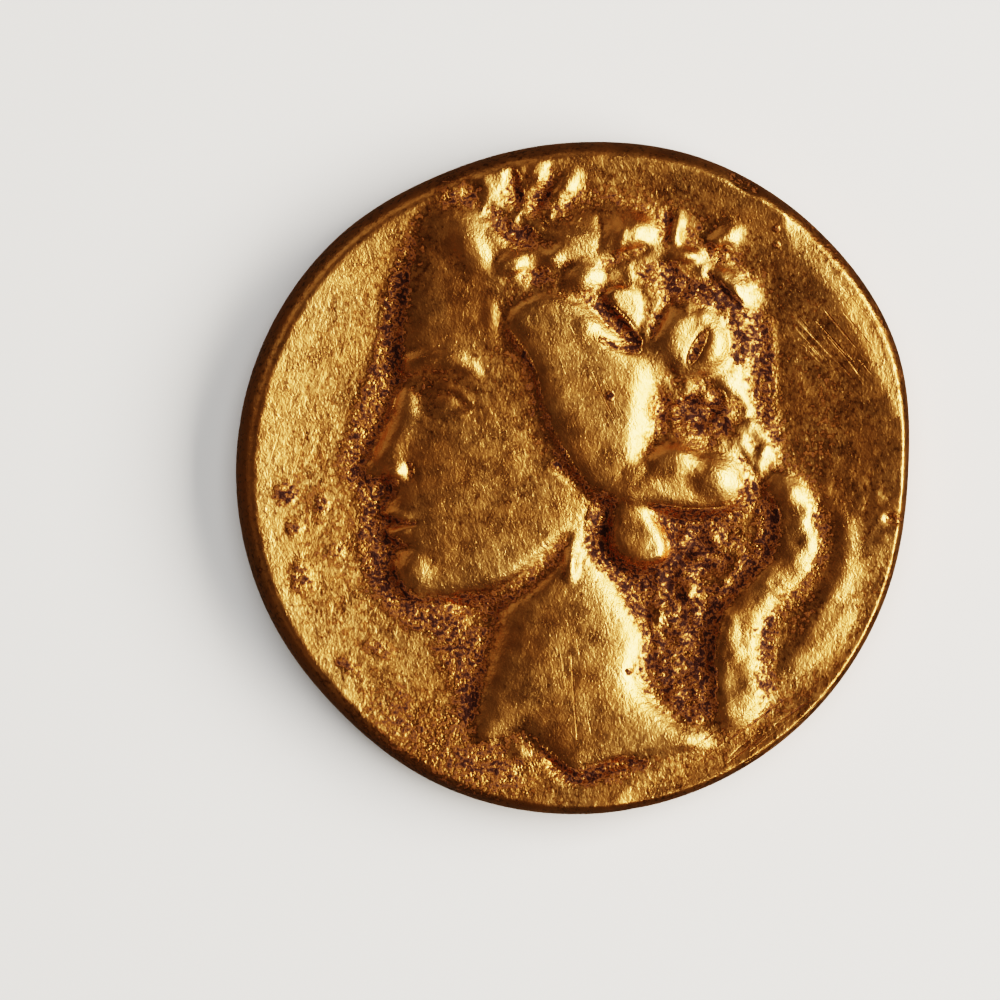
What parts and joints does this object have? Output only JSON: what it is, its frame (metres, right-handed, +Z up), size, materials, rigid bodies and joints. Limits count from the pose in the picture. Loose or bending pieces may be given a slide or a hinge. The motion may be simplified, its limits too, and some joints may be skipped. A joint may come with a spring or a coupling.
{
  "type": "stater coin",
  "caption": "Round struck coin lying face up: a wreathed head in high relief above, an ear of barley in low relief below, with a rounded edge.",
  "frame": {"origin": "centre of the bounding box's underside, where the coin meets the table", "axes": "+Z up through the coin's thickness, out of the head's side; +Y towards the top of the head; +X to the back of the head"},
  "size_m": [0.018, 0.018, 0.0024],
  "materials": {
    "worn_gold": null
  },
  "bodies": {
    "root": {"coin": "worn_gold"}
  },
  "joints": []
}
